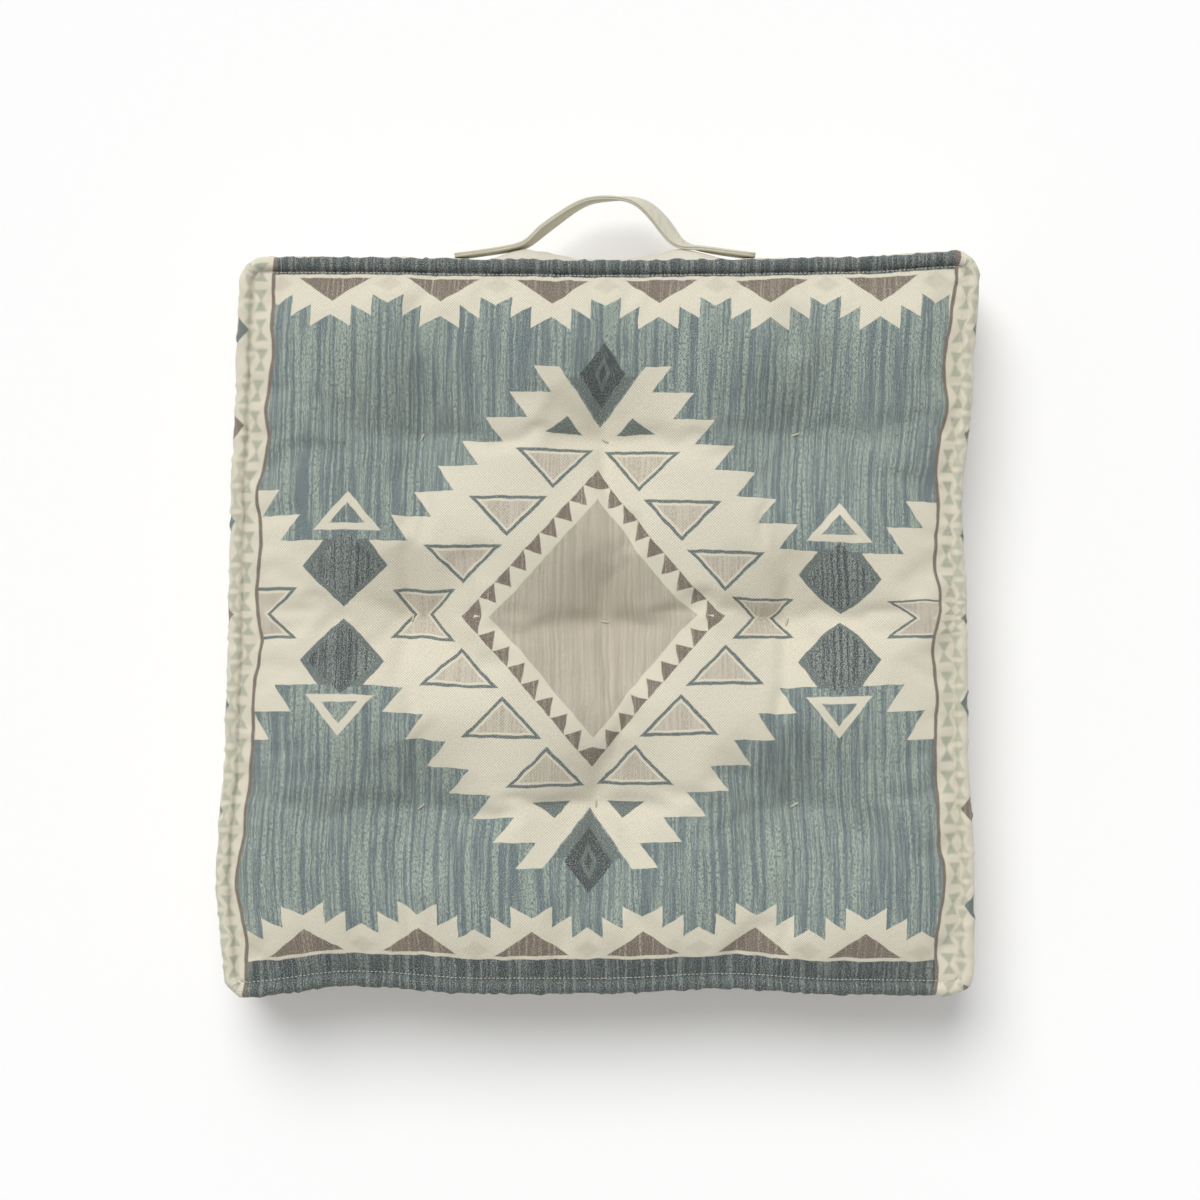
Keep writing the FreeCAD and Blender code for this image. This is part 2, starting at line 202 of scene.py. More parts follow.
def finishCloth(tree, colour, height, point, depth, roughness, sheen):
    # painted shade darkens the colour in the thread gaps and the slubs vary its tone; slubs and
    # thread gaps also raise the surface
    slub = addNode(tree, "VectorMath MULTIPLY", point, (1 / 1.2, 1 / 2.6, 1))
    slub = addNode(tree, "TexNoise", slub, None, 1.0, 3.0, 0.8)
    slub = addNode(tree, "Math MULTIPLY_ADD", slub, 0.6, 0.7)
    # painted shade: the weave's thread gaps are drawn darker than the thread tops
    shade = addNode(tree, "Math MULTIPLY_ADD", height, 0.4, 0.77)
    shade = addNode(tree, "Math MULTIPLY", shade, slub)
    colour = addNode(tree, "VectorMath SCALE", colour, None, None, shade)
    bump = addNode(tree, "Bump", named={"Strength": 0.5, "Distance": depth, "Height": height})
    shader = addNode(tree, "BsdfPrincipled", named={
        "Base Color": colour, "Normal": bump, "Roughness": roughness,
        "Specular IOR Level": 0.25, "Sheen Weight": sheen, "Sheen Roughness": 0.6})
    addNode(tree, "OutputMaterial", shader)


def printedCanvas():
    material, tree = newMaterial("printedCottonCanvas")
    ink = {name: hexColour(value) for name, value in kilimColours.items()}
    cloth = addNode(tree, "Attribute", attribute_name="flat", output=1)
    cloth = addNode(tree, "VectorMath SCALE", cloth, None, None, 1 / mm)
    centre = (-kilim["centre"][0] - 1, -kilim["centre"][1] - 1, 0)
    point = addNode(tree, "VectorMath ADD", cloth, centre)
    wander = addNode(tree, "TexNoise", point, None, 0.08, 2.0, noise_dimensions="2D", output=1)
    point = addNode(tree, "VectorMath MULTIPLY_ADD", wander, (2, 2, 0), point)
    split = addNode(tree, "SeparateXYZ", point)
    y = split.node.outputs[1]
    x = addNode(tree, "Math MULTIPLY_ADD", y, -kilim["skew"], split)
    sag = addNode(tree, "Math MULTIPLY", y, 1 / kilim["borderStart"])
    sag = addNode(tree, "Math MULTIPLY", sag, sag)
    sag = addNode(tree, "Math MULTIPLY_ADD", sag, -kilim["sag"], kilim["sag"])
    upper = addNode(tree, "Math MULTIPLY_ADD", y, 1 / 30, 0.5, use_clamp=True)
    sag = addNode(tree, "Math MULTIPLY", sag, upper)
    rightHalf = addNode(tree, "Math MAXIMUM", x, 0.0)
    foldX = addNode(tree, "Math ABSOLUTE", x)
    lift = addNode(tree, "Math MULTIPLY_ADD", y, 1 / 60, 130 / 60, use_clamp=True)
    lift = addNode(tree, "Math MINIMUM", lift, addNode(tree, "Math SUBTRACT", 1.0, upper))
    lift = addNode(tree, "Math MULTIPLY", lift, foldX)
    y = addNode(tree, "Math MULTIPLY_ADD", sag, rightHalf, y)
    y = addNode(tree, "Math MULTIPLY_ADD", lift, -kilim["lift"], y)
    foldY = addNode(tree, "Math ABSOLUTE", y)
    folded = addNode(tree, "CombineXYZ", foldX, foldY, 1.0)

    # ground: slate with broken sage lines
    ground = addNode(tree, "MixRGB", streaks(tree, point, 0.5), ink["slate"], ink["sage"])

    # stepped teeth of the medallion and of the half medallions at the sides
    rise, step, slant = kilim["toothRise"], kilim["toothStep"], kilim["toothSlant"]
    rows = addNode(tree, "Math MULTIPLY_ADD", foldY, 1 / rise, -kilim["toothBase"] / rise)
    row = addNode(tree, "Math FLOOR", rows)
    part = addNode(tree, "Math FRACT", rows)
    reach = addNode(tree, "Math MULTIPLY_ADD", row, -step, kilim["toothReach"] - step - slant)
    reach = addNode(tree, "Math MULTIPLY_ADD", part, slant, reach)
    field = addNode(tree, "Math SUBTRACT", reach, foldX)
    below = addNode(tree, "Math SUBTRACT", kilim["medallionTop"], foldY)
    field = addNode(tree, "Math MINIMUM", field, below)
    cleft = insideShape(tree, folded, [(0, 153), (60.8, 233), (-60.8, 233)])
    outOfCleft = addNode(tree, "Math MULTIPLY", cleft, -1.0)
    field = addNode(tree, "Math MINIMUM", field, outOfCleft)
    side = addNode(tree, "Math MULTIPLY_ADD", row, -1.6, -251 - 0.2)
    side = addNode(tree, "Math MULTIPLY_ADD", row, -15, side)
    side = addNode(tree, "Math MULTIPLY_ADD", part, 14.5, side)
    side = addNode(tree, "Math ADD", side, foldX)
    low = addNode(tree, "Math SUBTRACT", 102.2, foldY)
    side = addNode(tree, "Math MINIMUM", side, low)
    field = addNode(tree, "Math MAXIMUM", field, side)
    middle = addNode(tree, "Math SUBTRACT", kilim["toothBase"], foldY)
    field = addNode(tree, "Math MAXIMUM", field, middle)
    colour = printed(tree, ground, ink["cream"], field)

    # dark diamonds beside the medallion, and a teal rim round a streaked navy heart
    navy = addNode(tree, "MixRGB", streaks(tree, point, 0.52, 0.8), ink["navy"], ink["ash"])
    teal = addNode(tree, "MixRGB", streaks(tree, point, 0.4), ink["teal"], ink["slate"])
    rim = insideShape(tree, folded, [
        (199.5, 5.6), (232.3, 40.8), (216.3, 61.6), (182.7, 61.6), (166.7, 40.8)])
    colour = printed(tree, colour, teal, rim)
    heart = insideShape(tree, folded, [(199.5, 10), (227, 40.8), (199.5, 68), (172, 40.8)])
    colour = printed(tree, colour, navy, heart)
    hat = insideShape(tree, folded, [(173.1, 68.4), (225.9, 68.4), (199.5, 98.8)])
    colour = printed(tree, colour, ink["cream"], hat)
    hatHole = insideShape(tree, folded, [(185.7, 74), (213.3, 74), (199.5, 90)])
    colour = printed(tree, colour, ground, hatHole)

    # dark diamonds in the clefts, with a lighter one inside, and small triangles in the arms
    wedge = insideShape(tree, folded, [(0, 155), (28, 192), (-28, 192)])
    colour = printed(tree, colour, teal, wedge)
    cleftDiamond = insideShape(tree, folded, [(-19.5, 194.5), (0, 168), (19.5, 194.5), (0, 219.5)])
    dark = addNode(tree, "MixRGB", streaks(tree, point, 0.25, 0.8), ink["navy"], ink["teal"])
    colour = printed(tree, colour, dark, cleftDiamond)
    light = insideShape(tree, folded, [(-7.5, 194.5), (0, 180), (7.5, 194.5), (0, 209)])
    colour = printed(tree, colour, teal, light)
    pupil = insideShape(tree, folded, [(-3.5, 194.5), (0, 187), (3.5, 194.5), (0, 202)])
    colour = printed(tree, colour, ink["navy"], pupil)
    small = insideShape(tree, folded, [(14.4, 147), (44, 147.8), (27.2, 161.2)])
    colour = printed(tree, colour, teal, small)

    # three outlined triangles on each flank of the medallion, and a bow tie at its waist
    bead = addNode(tree, "Math MULTIPLY_ADD", foldY, -1 / 38, 140.4 / 38)
    bead = addNode(tree, "Math FLOOR", bead)
    bead = addNode(tree, "Math MINIMUM", bead, 2.0)
    bead = addNode(tree, "Math MAXIMUM", bead, 0.0)
    shift = addNode(tree, "CombineXYZ", bead, bead, 0.0)
    local = addNode(tree, "VectorMath MULTIPLY_ADD", shift, (-35.2, 38, 0), folded)
    flank = insideShape(tree, local, [(36, 102.4), (67.2, 134.1), (4.8, 134.1)])
    bow = insideShape(tree, folded, [(137.5, -11.2), (163.1, 22), (111.9, 22)])
    sideBow = insideShape(tree, folded, [(268, -12.6), (300, 24), (236, 24)])
    outlined = addNode(tree, "Math MAXIMUM", flank, bow)
    outlined = addNode(tree, "Math MAXIMUM", outlined, sideBow)
    rose = addNode(tree, "MixRGB", streaks(tree, point, 0.5, 0.7), ink["rose"], ink["beige"])
    colour = printed(tree, colour, teal, outlined)
    inner = addNode(tree, "Math SUBTRACT", outlined, 2.5)
    colour = printed(tree, colour, ink["cream"], inner)
    inner = addNode(tree, "Math SUBTRACT", outlined, 4.4)
    colour = printed(tree, colour, rose, inner)

    # the middle diamond, in a cream band with a chain of brown triangles
    beige = addNode(tree, "MixRGB", streaks(tree, point, 0.5, 0.7), ink["beige"], ink["rose"])
    brown = addNode(tree, "MixRGB", streaks(tree, point, 0.4, 0.7), ink["brown"], ink["beige"])
    chainX, chainY = kilim["chainSize"]
    heartX, heartY = kilim["heartSize"]
    band = insideShape(tree, folded, [(0, chainY), (-chainX, 0), (0, -chainY), (chainX, 0)])
    colour = printed(tree, colour, ink["cream"], band)
    slope = math.hypot(chainX, chainY)
    run = addNode(tree, "VectorMath DOT_PRODUCT", folded,
                  (chainX / slope, -chainY / slope, chainY ** 2 / slope), output=1)
    run = addNode(tree, "Math MULTIPLY", run, 1 / kilim["chainPitch"])
    run = addNode(tree, "Math FRACT", run)
    run = addNode(tree, "Math MULTIPLY_ADD", run, kilim["chainPitch"], -kilim["chainPitch"] / 2)
    chain = addNode(tree, "CombineXYZ", run, band, 1.0)
    link = insideShape(tree, chain, [(-8.2, 0), (8.2, 0), (2, 12.6)])
    tipY = addNode(tree, "Math SUBTRACT", foldY, chainY - 11.5)
    tipX = addNode(tree, "Math SUBTRACT", foldX, chainX - 10)
    tips = addNode(tree, "Math MAXIMUM", tipX, tipY)
    tips = addNode(tree, "Math MINIMUM", tips, band)
    link = addNode(tree, "Math MAXIMUM", link, tips)
    colour = printed(tree, colour, brown, link)
    heart = insideShape(tree, folded, [(0, heartY), (-heartX, 0), (0, -heartY), (heartX, 0)])
    colour = printed(tree, colour, beige, heart)

    # borders at front and back: a cream zone with stepped teeth and brown triangles, then navy
    depth = addNode(tree, "Math SUBTRACT", kilim["borderStart"], foldY)
    pitch = kilim["borderPitch"]
    across = addNode(tree, "Math MULTIPLY", foldX, 1 / pitch)
    across = addNode(tree, "Math FRACT", across)
    across = addNode(tree, "Math MULTIPLY_ADD", across, pitch, -pitch / 2)
    across = addNode(tree, "Math ABSOLUTE", across)
    stair = addNode(tree, "Math MULTIPLY", across, 1 / 15.8)
    stair = addNode(tree, "Math FLOOR", stair)
    teeth = addNode(tree, "Math MULTIPLY_ADD", across, 0.6, 34.0)
    teeth = addNode(tree, "Math MULTIPLY_ADD", stair, -17.6, teeth)
    teeth = addNode(tree, "Math SUBTRACT", teeth, depth)
    colour = printed(tree, colour, ink["cream"], teeth)
    bordered = addNode(tree, "CombineXYZ", across, depth, 1.0)
    peak = insideShape(tree, bordered, [(-28.8, 3), (28.8, 3), (0, 23)])
    colour = printed(tree, colour, brown, peak)
    faint = insideShape(tree, bordered, [(33, 8), (44, 1), (55, 8), (44, 15)])
    tint = addNode(tree, "MixRGB", 0.3, ink["cream"], ink["beige"])
    colour = printed(tree, colour, tint, faint, 2.5)
    outer = addNode(tree, "Math MULTIPLY", depth, -1.0)
    deep = addNode(tree, "MixRGB", streaks(tree, point, 0.45, 1.3), ink["navy"], ink["ash"])
    colour = printed(tree, colour, deep, outer)

    # side borders: a brown line, mint hourglasses, then half diamonds that turn over the roll
    off = addNode(tree, "Math SUBTRACT", x, kilim["sideShift"])
    off = addNode(tree, "Math ABSOLUTE", off)
    off = addNode(tree, "Math SUBTRACT", off, kilim["sideLine"] - kilim["sideWave"] / 2)
    wave = addNode(tree, "Math MULTIPLY", y, 1 / kilim["sideWaveLength"])
    wave = addNode(tree, "TexNoise", None, wave, 1.0, 0.0, noise_dimensions="1D")
    off = addNode(tree, "Math MULTIPLY_ADD", wave, -kilim["sideWave"], off)
    colour = printed(tree, colour, ink["brown"], off)
    past = addNode(tree, "Math SUBTRACT", off, kilim["sideLineWidth"])
    colour = printed(tree, colour, ink["cream"], past)
    for start, pitch, shade in ((12, 24, 0.8), (23, 21, 0.6)):
        beat = addNode(tree, "Math MULTIPLY_ADD", y, 1 / pitch, start)
        beat = addNode(tree, "Math FRACT", beat)
        beat = addNode(tree, "Math MULTIPLY_ADD", beat, pitch, -pitch / 2)
        beat = addNode(tree, "Math ABSOLUTE", beat)
        column = addNode(tree, "CombineXYZ", off, beat, 1.0)
        glass = insideShape(tree, column, [(start, -0.5), (start + 5.5, 8.5), (start - 5.5, 8.5)])
        tint = addNode(tree, "MixRGB", shade, ink["cream"], ink["mint"])
        colour = printed(tree, colour, tint, glass, 1.5)
    pitch = kilim["halfDiamondPitch"]
    for start, shade in ((0, brown), (0.5, teal)):
        beat = addNode(tree, "Math MULTIPLY_ADD", y, 1 / (2 * pitch), start + 0.5)
        beat = addNode(tree, "Math FRACT", beat)
        beat = addNode(tree, "Math MULTIPLY_ADD", beat, 2 * pitch, -pitch)
        beat = addNode(tree, "Math ABSOLUTE", beat)
        column = addNode(tree, "CombineXYZ", off, beat, 1.0)
        jewel = insideShape(tree, column, [(24, 0), (35, -11), (46, 0), (35, 11)])
        colour = printed(tree, colour, shade, jewel)

    # the tops of the threads take less ink
    height = weave(tree, point, kilim["weavePitch"])
    bare = addNode(tree, "VectorMath SCALE", point, None, None, 1 / 0.9)
    bare = addNode(tree, "TexNoise", bare, None, 1.0, 1.0, 0.5, noise_dimensions="2D")
    bare = addNode(tree, "Math MULTIPLY_ADD", bare, 3.5, -1.75, use_clamp=True)
    bare = addNode(tree, "Math MULTIPLY", bare, 0.5)
    colour = addNode(tree, "MixRGB", bare, colour, ink["cream"])
    finishCloth(tree, colour, height, point, 0.25 * mm, 0.85, 0.15)
    return material


def plainCloth(name, light, dark, pitch, depth, roughness, sheen, laid=False):
    # undyed cotton: warm, matt, with darker flecks of seed husk and a visible weave
    material, tree = newMaterial(name)
    place = addNode(tree, "TexCoord", output=3)
    point = addNode(tree, "VectorMath SCALE", place, None, None, 1 / mm)
    split = addNode(tree, "SeparateXYZ", point)
    flank = addNode(tree, "Math ADD", split, split.node.outputs[1])
    upright = addNode(tree, "CombineXYZ", flank, split.node.outputs[2], 0.0)
    lying = addNode(tree, "NewGeometry", output=1)
    lying = addNode(tree, "SeparateXYZ", lying, output=2)
    lying = addNode(tree, "Math ABSOLUTE", lying)
    lying = addNode(tree, "Math GREATER_THAN", lying, 0.7)
    point = addNode(tree, "MixRGB", lying, upright, point)
    if laid:
        point = addNode(tree, "Attribute", attribute_name="flat", output=1)
        point = addNode(tree, "VectorMath SCALE", point, None, None, 1 / mm)
    blotch = addNode(tree, "TexNoise", point, None, 0.03, 3.0)
    colour = addNode(tree, "MixRGB", blotch, hexColour(light), hexColour(dark))
    height = weave(tree, point, pitch)
    finishCloth(tree, colour, height, point, depth, roughness, sheen)
    return material


# thread pitch is drawn at 2 mm, about three real threads, so that it shows
canvas = plainCloth("plainCottonCanvas", "#E2DECF", "#D3CDBB", 2.0, 0.25 * mm, 0.85, 0.15)
strapCloth = plainCloth("strapCottonCanvas", "#DEDAC8", "#CBC6B1", 1.6, 0.2 * mm, 0.85, 0.15, True)
twine = plainCloth("waxedCottonTwine", "#DAD6C4", "#B9B39C", 0.9, 0.15 * mm, 0.6, 0.0)
thread = plainCloth("cottonSewingThread", "#E4E1D4", "#C9C5B4", 0.5, 0.05 * mm, 0.55, 0.1)
fibre = plainCloth("polyesterFibreFill", "#F1F1EE", "#E0E0DC", 3.0, 0.6 * mm, 0.95, 0.3)
canvasPrint = printedCanvas()
print("materials made")


topLow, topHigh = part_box("top_panel")
strandLow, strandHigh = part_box("top_roll_strand")
baseStrandLow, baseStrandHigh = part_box("bottom_roll_strand")
wallLow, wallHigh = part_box("right_wall")
loopLow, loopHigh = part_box("handle_loop")
tabLow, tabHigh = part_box("handle_tab_right")
backLow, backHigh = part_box("back_wall")

strandRadius = (strandHigh.z - strandLow.z) / 2
rollRadius = strandRadius + topHigh.x - strandHigh.x
ringX = strandHigh.x - strandRadius
ringY = strandHigh.y - strandRadius
topRing = (strandHigh.z + strandLow.z) / 2
baseRing = (baseStrandHigh.z + baseStrandLow.z) / 2
wallFull = wallHigh.x - ringX

cover = {
    "cells": 96,             # squares of cloth across the panel
    "wallCells": 11,
    "cornerRadius": 15 * mm,
    "groove": 5.4 * mm,      # from the roll's middle in to the stitched groove
    "grooveLift": 1.6 * mm,
    "crown": 7 * mm,
    "dimpleReach": 62 * mm,
    "simFrames": 24,
    "mostMoved": 14 * mm,
    "tieGrip": 5 * mm,
    "tieSink": 7 * mm,       # how far the cloth settles below the tie's height in the frame
    "puckerDepth": 0.9 * mm,
    "puckerReach": 20 * mm,
    "creaseDepth": 2.4 * mm,
    "creaseWidth": 12 * mm,
    "creaseReach": 95 * mm,
    "thickness": 0.8 * mm,
}

clothSettings = {
    "quality": 4,
    "mass": 0.3,
    "tension_stiffness": 30,
    "compression_stiffness": 12,
    "shear_stiffness": 8,
    "bending_stiffness": 0.4,
    "air_damping": 2,
    "shrink_min": -0.03,     # the cloth was cut this much larger than the pad
    "use_pressure": True,
    "uniform_pressure_force": 4,
}

# How far each side of the cushion strays outwards from square, in mm, at even steps along it.
# Left and right run from front to back, front and back from left to right.
sideLean = {
    "left": [7, 13, 6, 3, 1, -3, -6],
    "right": [-3, -3, -8, -9, -13, -4, 2],
    "front": [3, -7, -1, -1, -5, 0, 1],
    "back": [1.8, 1.4, 0, -1, 0, 1.6, 7],
}

# How far each tie strays from its mark, in mm, and the angle of its bar in degrees.
tieStray = {
    ("back", "left"): (2.8, 4, 65),
    ("back", "centre"): (0, 1.6, -30),
    ("back", "right"): (2.8, 6.4, 20),
    ("middle", "left"): (-4.4, 7.2, 80),
    ("middle", "centre"): (0, 4, -10),
    ("middle", "right"): (-3.6, 4, 75),
    ("front", "left"): (2, 3.2, 40),
    ("front", "centre"): (-7.2, 5.6, 90),
    ("front", "right"): (2.8, 4.8, 30),
}

tuftPlaces = {}
for (row, column), (strayX, strayY, _) in tieStray.items():
    low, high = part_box(f"tuft_tie_{row}_{column}")
    tuftPlaces[row, column] = (low + high) / 2 + Vector((strayX, strayY, 0)) * mm
tieLow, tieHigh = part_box("tuft_tie_middle_centre")


def lean(x, y):
    # moves a point of the square plan to its place on the real, slightly uneven cushion
    u = min(1, max(0, (x / ringX + 1) / 2))
    v = min(1, max(0, (y / ringY + 1) / 2))
    dx = along(sideLean["right"], v) * u ** 2 - along(sideLean["left"], v) * (1 - u) ** 2
    dy = along(sideLean["back"], u) * v ** 2 - along(sideLean["front"], u) * (1 - v) ** 2
    return Vector((x + dx * mm, y + dy * mm))


def roundCorner(x, y, halfX, halfY, radius):
    # squashes the corners of a square grid on to quarter circles
    cornerX, cornerY = abs(x) - (halfX - radius), abs(y) - (halfY - radius)
    if cornerX <= 0 or cornerY <= 0:
        return x, y
    reach = max(cornerX, cornerY) / math.hypot(cornerX, cornerY)
    return (math.copysign(halfX - radius + cornerX * reach, x),
            math.copysign(halfY - radius + cornerY * reach, y))


def outwards(x, y, halfX, halfY, radius):
    # the direction away from the pad at a point of its edge
    cornerX, cornerY = abs(x) - (halfX - radius), abs(y) - (halfY - radius)
    if cornerX > 0 and cornerY > 0:
        away = Vector((cornerX, cornerY))
    else:
        away = Vector((1, 0)) if cornerX > cornerY else Vector((0, 1))
    return Vector((math.copysign(away.x, x), math.copysign(away.y, y))).normalized()


grooveX, grooveY = ringX - cover["groove"], ringY - cover["groove"]
grooveCorner = cover["cornerRadius"] - cover["groove"]


def seamSpot(x, y):
    # the roll's middle line beside a point of the flat panel's edge, and the way out from it
    roundX, roundY = roundCorner(x, y, grooveX, grooveY, grooveCorner)
    away = outwards(roundX, roundY, grooveX, grooveY, grooveCorner)
    return lean(roundX, roundY) + away * cover["groove"], away


def panelHeight(x, y, spot, side):
    # the resting height of the upper (side 1) or lower (side -1) panel before it is blown up
    edge = min(grooveX - abs(x), grooveY - abs(y))
    near = min((spot - tuft.xy).length for tuft in tuftPlaces.values())
    if side > 0:
        high = topRing + cover["grooveLift"] + cover["crown"] * smoothStep(0, 60 * mm, edge)
        pull = 1 - smoothStep(0, cover["dimpleReach"], near)
        return high + (tieHigh.z - cover["tieSink"] - high) * pull
    start = baseRing - cover["grooveLift"]
    low = start - (start - 0.6 * mm) * smoothStep(0, 60 * mm, edge)
    return low + 7 * mm * (1 - smoothStep(0, 26 * mm, near))


def wallPoint(share, foot, away):
    # a point up the wall, from under the lower roll (0) to under the upper one (1)
    low, high = baseRing + 0.85 * rollRadius, topRing - 0.85 * rollRadius
    out = 2.5 * mm + (wallFull - 3 * mm) * math.sin(math.pi * share) ** 0.8
    return Vector((*(foot + away * out), low + (high - low) * share))


def buildCover():
    # one closed bag of square cells: lower panel, wall and upper panel, each point keeping the
    # place it had in the flat cloth
    cells = cover["cells"]
    bm = bmesh.new()
    bmesh.ops.create_grid(bm, x_segments=cells, y_segments=cells, size=1)
    bmesh.ops.reverse_faces(bm, faces=bm.faces[:])
    lifted = bmesh.ops.extrude_face_region(bm, geom=bm.faces[:], use_keep_orig=True)["geom"]
    upper = [item for item in lifted if isinstance(item, bmesh.types.BMVert)]
    bmesh.ops.translate(bm, verts=upper, vec=(0, 0, 2))
    uprights = [e for e in bm.edges if abs(e.verts[0].co.z - e.verts[1].co.z) > 1]
    bmesh.ops.subdivide_edges(bm, edges=uprights, cuts=cover["wallCells"] + 1, use_grid_fill=True)
    bmesh.ops.recalc_face_normals(bm, faces=bm.faces[:])
    bm.verts.sort(key=lambda v: round(v.co.z, 3) * 1e6 + round(v.co.y, 3) * 1e3 + v.co.x)
    bm.verts.index_update()
    count = len(bm.verts)
    for group in (bm.edges, bm.faces):
        group.sort(key=lambda item: min(v.index for v in item.verts) * count
                   + max(v.index for v in item.verts))
    flat = bm.verts.layers.float_vector.new("flat")
    step = 2 / (cover["wallCells"] + 2)
    for vert in bm.verts:
        x, y, z = vert.co.x * grooveX, vert.co.y * grooveY, vert.co.z
        vert[flat] = (x, y, z)
        spot = lean(*roundCorner(x, y, grooveX, grooveY, grooveCorner))
        if z > 1.999 or z < 0.001:
            vert.co = (*spot, panelHeight(x, y, spot, 1 if z > 1 else -1))
        else:
            share = (z - step) / (2 - 2 * step)
            vert.co = wallPoint(min(1, max(0, share)), *seamSpot(x, y))
    return bm


def blowUp(piece):
    # pressure fills the bag while the ties, the rolled edges and the floor hold it
    mesh = piece.data
    flat = [Vector(item.vector) for item in mesh.attributes["flat"].data]
    start = [vert.co.copy() for vert in mesh.vertices]
    step = 2 / (cover["wallCells"] + 2)
    pinned = []
    for index, (spot, place) in enumerate(zip(flat, start)):
        near = min((place.xy - tuft.xy).length for tuft in tuftPlaces.values())
        rim = 0.001 < spot.z < 1.999 and abs(spot.z - 1) > 1 - 1.5 * step
        seam = min(grooveX - abs(spot.x), grooveY - abs(spot.y)) < 0.1 * mm
        seam = seam and abs(spot.z - 1) > 0.999
        if spot.z < 0.001 or rim or seam or spot.z > 1.999 and near < cover["tieGrip"]:
            pinned.append(index)
    piece.vertex_groups.new(name="held").add(pinned, 1.0, "REPLACE")
    cloth = piece.modifiers.new("blowUp", "CLOTH")
    for name, value in clothSettings.items():
        setattr(cloth.settings, name, value)
    cloth.settings.vertex_group_mass = "held"
    cloth.settings.effector_weights.gravity = 0
    cloth.collision_settings.use_collision = False
    cloth.point_cache.frame_end = cover["simFrames"]
    for frameNumber in range(1, cover["simFrames"] + 1):
        scene.frame_set(frameNumber)
    blown = piece.evaluated_get(bpy.context.evaluated_depsgraph_get())
    end = [vert.co.copy() for vert in blown.data.vertices]
    piece.modifiers.remove(cloth)
    piece.vertex_groups.clear()
    scene.frame_set(1)
    for vert, first, last in zip(mesh.vertices, start, end):
        move = last - first
        vert.co = first + move * min(1, cover["mostMoved"] / max(move.length, 1e-6))


def crease(piece):
    # soft folds run from tie to tie across the upper cloth
    heights = [item.vector.z for item in piece.data.attributes["flat"].data]
    for height, vert in zip(heights, piece.data.vertices):
        if height < 1.999:
            continue
        for tuft in tuftPlaces.values():
            aside, ahead = sorted((abs(vert.co.x - tuft.x), abs(vert.co.y - tuft.y)))
            if ahead < cover["creaseReach"]:
                fade = 1 - smoothStep(0, cover["creaseReach"], ahead)
                width = cover["creaseWidth"] * (0.6 + 0.4 * ahead / cover["creaseReach"])
                vert.co.z -= cover["creaseDepth"] * fade * math.exp(-(aside / width) ** 2)


def applySmoothing(piece):
    # halves the squares of cloth and keeps the result as the mesh
    piece.modifiers.new("smooth", "SUBSURF").levels = 1
    whole = piece.evaluated_get(bpy.context.evaluated_depsgraph_get())
    finer = bpy.data.meshes.new_from_object(whole)
    piece.modifiers.clear()
    piece.data = finer


bag = newObject("coverBag", buildCover(), canvas)
blowUp(bag)
crease(bag)
print("cover blown up")

# the wadding is the same bag, drawn in from the cloth
filling = {"gap": 2.5 * mm}
bm = bmesh.new()
bm.from_mesh(bag.data)
bm.normal_update()
for vert in bm.verts:
    vert.co -= vert.normal * filling["gap"]
bmesh.ops.smooth_vert(bm, verts=bm.verts[:], factor=0.5, use_axis_x=True, use_axis_y=True,
                      use_axis_z=True)
fibrePiece = onCushion(newObject("fibreFilling", bm, fibre), "fibre_filling")
applySmoothing(bag)


def cutFromCover(wanted):
    # the faces of the bag whose middle, in the flat cloth, is wanted
    bm = bmesh.new()
    bm.from_mesh(bag.data)
    flat = bm.verts.layers.float_vector["flat"]
    spare = []
    for face in bm.faces:
        middle = sum((vert[flat] for vert in face.verts), Vector()) / len(face.verts)
        if not wanted(middle):
            spare.append(face)
    bmesh.ops.delete(bm, geom=spare, context="FACES")
    return bm, flat


roll = {
    "steps": 10,
    "from": 164,             # degrees round the strand, from the groove to under the roll
    "round": 240,
    "gatherSize": 5.5 * mm,
    "gatherDepth": 0.36,
}


def pucker(bm, flat):
    # the seam draws ripples in from the roll
    for vert in bm.verts:
        x, y, z = vert[flat]
        for edge, share in ((grooveX - abs(x), (x * 0.2, y)), (grooveY - abs(y), (x, y * 0.2))):
            fade = smoothStep(0, 3 * mm, edge) * (1 - smoothStep(3 * mm, cover["puckerReach"], edge))
            ripple = noise.noise(Vector((*share, 0)) / roll["gatherSize"])
            vert.co.z += cover["puckerDepth"] * 2 * fade * ripple


def rollEdge(bm, flat, side):
    # carries the panel's edge round its strand, gathered by the stitches
    height = topRing if side > 0 else baseRing
    ring = [edge for edge in bm.edges if edge.is_boundary]
    for step in range(1, roll["steps"] + 1):
        grown = bmesh.ops.extrude_edge_only(bm, edges=ring)["geom"]
        fresh = {item for item in grown if isinstance(item, bmesh.types.BMVert)}
        ring = [item for item in grown if isinstance(item, bmesh.types.BMEdge)
                and item.is_boundary and set(item.verts) <= fresh]
        turned = math.radians(roll["round"]) * step / roll["steps"]
        angle = math.radians(roll["from"]) - turned
        arc = rollRadius * turned
        for vert in fresh:
            x = min(grooveX, max(-grooveX, vert[flat].x))
            y = min(grooveY, max(-grooveY, vert[flat].y))
            foot, away = seamSpot(x, y)
            ripple = noise.noise(Vector((*foot, angle * 4 * mm)) / roll["gatherSize"])
            radius = rollRadius * (1 + roll["gatherDepth"] * max(ripple - 0.2, -0.4))
            vert.co = (*(foot + away * radius * math.cos(angle)),
                       height + side * radius * math.sin(angle))
            outX = math.copysign(arc, x) if grooveX - abs(x) < 0.1 * mm else 0
            outY = math.copysign(arc, y) if grooveY - abs(y) < 0.1 * mm else 0
            vert[flat] = (x + outX, y + outY, 1 + side)
    bmesh.ops.recalc_face_normals(bm, faces=bm.faces[:])


def addThickness(piece):
    shell = piece.modifiers.new("clothThickness", "SOLIDIFY")
    shell.thickness = cover["thickness"]
    shell.offset = -1
    return piece


